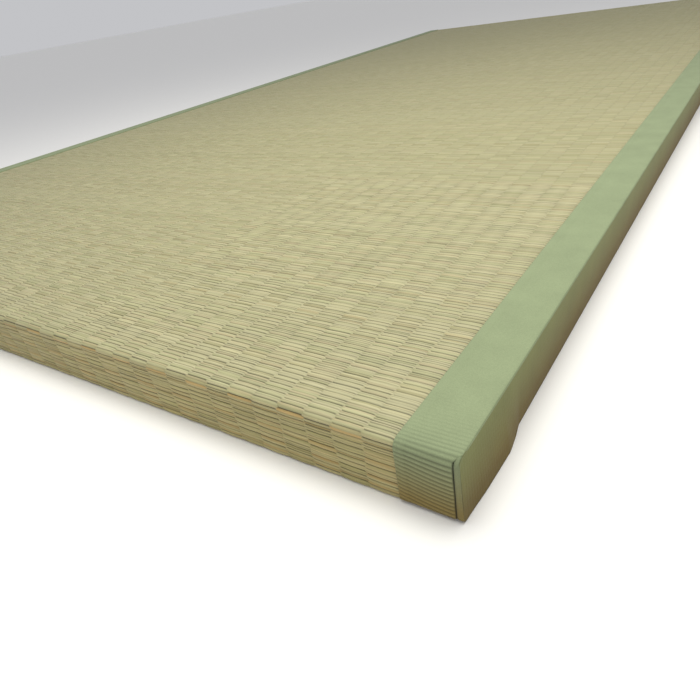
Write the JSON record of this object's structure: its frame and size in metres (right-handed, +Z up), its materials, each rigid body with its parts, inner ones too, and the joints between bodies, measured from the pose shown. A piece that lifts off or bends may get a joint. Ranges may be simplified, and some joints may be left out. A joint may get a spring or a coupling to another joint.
{
  "type": "tatami mat",
  "caption": "Flat rectangular floor mat: a firm slab in a woven rush cover, with a ribbed cloth border folded round each long side.",
  "frame": {"origin": "middle of the underside, on the floor", "axes": "+Z up, +Y along the cloth borders, +X across the mat along the rushes; the pictured corner is at +X, -Y"},
  "size_m": [0.8856, 1.76, 0.033],
  "materials": {
    "woven_rush": "dry woven rush with a slight sheen",
    "border_cloth": "matt ribbed cloth"
  },
  "bodies": {
    "root": {"rush_mat": "woven_rush", "border_right": "border_cloth", "border_left": "border_cloth"}
  },
  "joints": []
}
